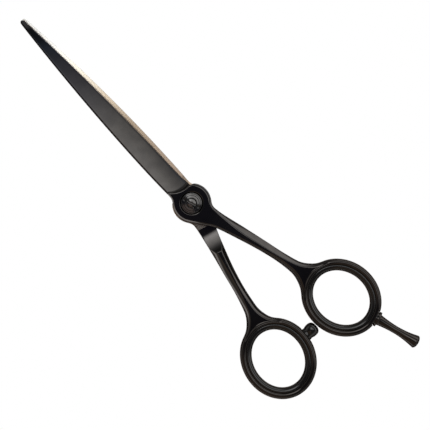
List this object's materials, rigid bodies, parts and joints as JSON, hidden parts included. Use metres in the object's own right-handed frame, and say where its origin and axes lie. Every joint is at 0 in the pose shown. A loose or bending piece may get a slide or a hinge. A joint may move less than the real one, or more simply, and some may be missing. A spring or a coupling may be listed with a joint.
{
  "type": "hair cutting shears",
  "caption": "Black-coated hair cutting shears with a ball-bearing pivot, click tension dial, ring inserts, rubber bumper and screw-in finger rest.",
  "frame": {"origin": "where the pivot axis meets the plane that the shears lie on", "axes": "+X to the blade tips, +Y to the thumb ring, +Z out of the tension dial, away from the side the shears lie on"},
  "size_m": [0.1805, 0.0578, 0.006],
  "materials": {
    "black_coat": "glossy black titanium coat over polished steel",
    "bare_steel": "ground and polished",
    "bronze": "satin sintered bronze",
    "nylon": "natural nylon, matte",
    "soft_black": "smooth black elastomer, semi-gloss"
  },
  "bodies": {
    "finger_side": {"finger_half": "black_coat", "pivot_bush": "bronze", "front_race": "bare_steel", "glide_washer": "nylon", "finger_ring_insert": "soft_black"},
    "thumb_side": {"thumb_half": "black_coat", "pivot_stud": "bare_steel", "rear_race": "bare_steel", "click_plate": "bare_steel", "spring_washer": "bare_steel", "lock_screw": "black_coat", "thumb_ring_insert": "soft_black", "bumper": "soft_black"},
    "bearing": {"ball_cage": "bronze", "bearing_balls": "bare_steel"},
    "dial": {"tension_dial": "black_coat", "click_spring": "bare_steel"},
    "rest_washer": {"finger_rest_washer": "soft_black"},
    "rest": {"finger_rest": "black_coat"}
  },
  "joints": [
    {"name": "shear_pivot", "type": "hinge", "parent": "finger_side", "child": "thumb_side", "pos_m": [0, 0, 0.0028], "axis": [0, 0, -1], "range_deg": [0, 120]},
    {"name": "bearing_turn", "type": "hinge", "parent": "finger_side", "child": "bearing", "pos_m": [0, 0, 0.0028], "axis": [0, 0, -1], "range_deg": [0, 60]},
    {"name": "dial_turn", "type": "hinge", "parent": "thumb_side", "child": "dial", "pos_m": [0, 0, 0.0053], "axis": [0, 0, 1], "range_deg": [-180, 180]},
    {"name": "rest_back_off", "type": "slide", "parent": "finger_side", "child": "rest_washer", "axis": [-0.9593, -0.2823, 0], "range_m": [0, 0.00125]},
    {"name": "rest_unscrew", "type": "hinge", "parent": "rest_washer", "child": "rest", "pos_m": [-0.0609, -0.0162, 0.0028], "axis": [-0.9593, -0.2823, 0], "range_deg": [0, 900]}
  ],
  "couplings": [
    {"joint": "bearing_turn", "follows": "shear_pivot", "ratio": 0.5},
    {"joint": "rest_unscrew", "follows": "rest_back_off", "rad_per_m": 12566}
  ]
}
